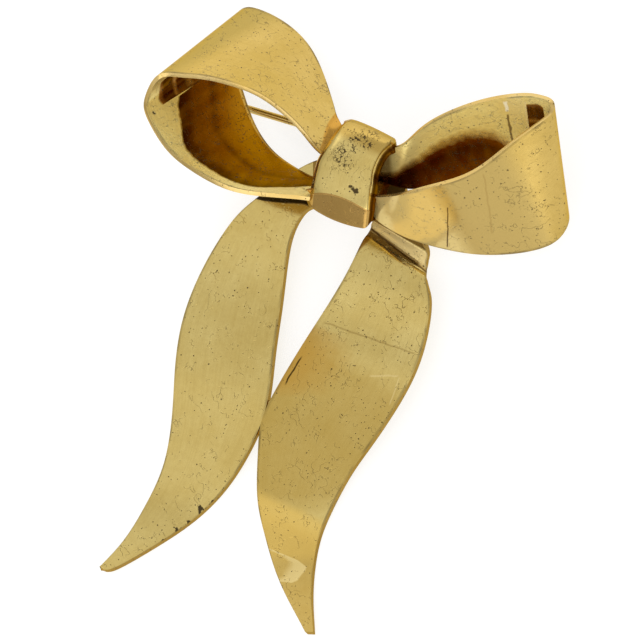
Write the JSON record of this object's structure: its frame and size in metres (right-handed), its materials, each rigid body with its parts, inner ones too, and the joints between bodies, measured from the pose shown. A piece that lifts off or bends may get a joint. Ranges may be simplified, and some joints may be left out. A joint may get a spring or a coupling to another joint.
{
  "type": "bow brooch",
  "caption": "Bow-shaped brooch of bent gold-plated sheet: open loops held by a wrapped knot, curved pointed tails, and a hinged pin stem with a catch behind.",
  "frame": {"origin": "on the surface the brooch lies on, under the middle of its outline", "axes": "+X towards the right loop, +Y towards the tops of the loops, +Z the brooch's front; it lies on its back"},
  "size_m": [0.0612, 0.0813, 0.0181],
  "materials": {
    "gold_plate": "polished gold plate on brass sheet, worn, with fine pits and scratches",
    "pin_metal": "gold-plated wire and fittings, satin"
  },
  "bodies": {
    "bow": {"left_loop": "gold_plate", "right_loop": "gold_plate", "tails": "gold_plate", "knot": "gold_plate", "pin_hinge": "pin_metal", "hinge_rivet": "pin_metal", "pin_catch": "pin_metal"},
    "pin": {"pin_stem": "pin_metal"}
  },
  "joints": [
    {"name": "pin_swing", "type": "hinge", "parent": "bow", "child": "pin", "pos_m": [-0.02636, 0.0272, 0.0016], "axis": [0, 1, 0], "range_deg": [0, 75]}
  ]
}
